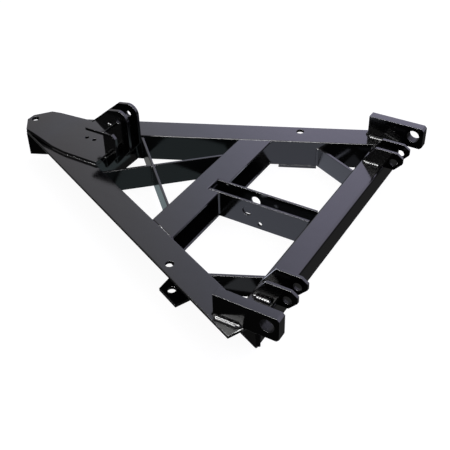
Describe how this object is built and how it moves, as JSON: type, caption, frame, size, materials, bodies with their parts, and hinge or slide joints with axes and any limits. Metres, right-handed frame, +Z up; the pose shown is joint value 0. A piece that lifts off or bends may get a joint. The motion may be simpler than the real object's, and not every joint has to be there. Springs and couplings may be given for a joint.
{
  "type": "snow plow a-frame",
  "caption": "Black A-frame push frame of a truck snow plow, with a pivot nose, a bored lift bracket, thick rear mount plates and paired ears.",
  "frame": {"origin": "on the ground under the middle of the frame's overall box", "axes": "+Y from the pivot nose to the truck end, +Z up, +X to the frame's left"},
  "size_m": [0.893, 1, 0.2085],
  "materials": {
    "frame_paint": "glossy"
  },
  "bodies": {
    "root": {"rail_left": "frame_paint", "rail_right": "frame_paint", "nose_plate": "frame_paint", "cross_channel": "frame_paint", "rear_tube": "frame_paint", "centre_bar_left": "frame_paint", "centre_bar_right": "frame_paint", "brace_long": "frame_paint", "brace_front": "frame_paint", "brace_rear": "frame_paint", "gusset_left": "frame_paint", "gusset_right": "frame_paint", "ram_tab_left": "frame_paint", "ram_tab_right": "frame_paint", "mount_plate_left": "frame_paint", "mount_plate_right": "frame_paint", "ear_left_outer": "frame_paint", "ear_left_inner": "frame_paint", "ear_right_inner": "frame_paint", "ear_right_outer": "frame_paint", "cheek_left": "frame_paint", "cheek_centre": "frame_paint", "cheek_right": "frame_paint", "bracket_shelf": "frame_paint", "nose_web": "frame_paint"}
  },
  "joints": []
}
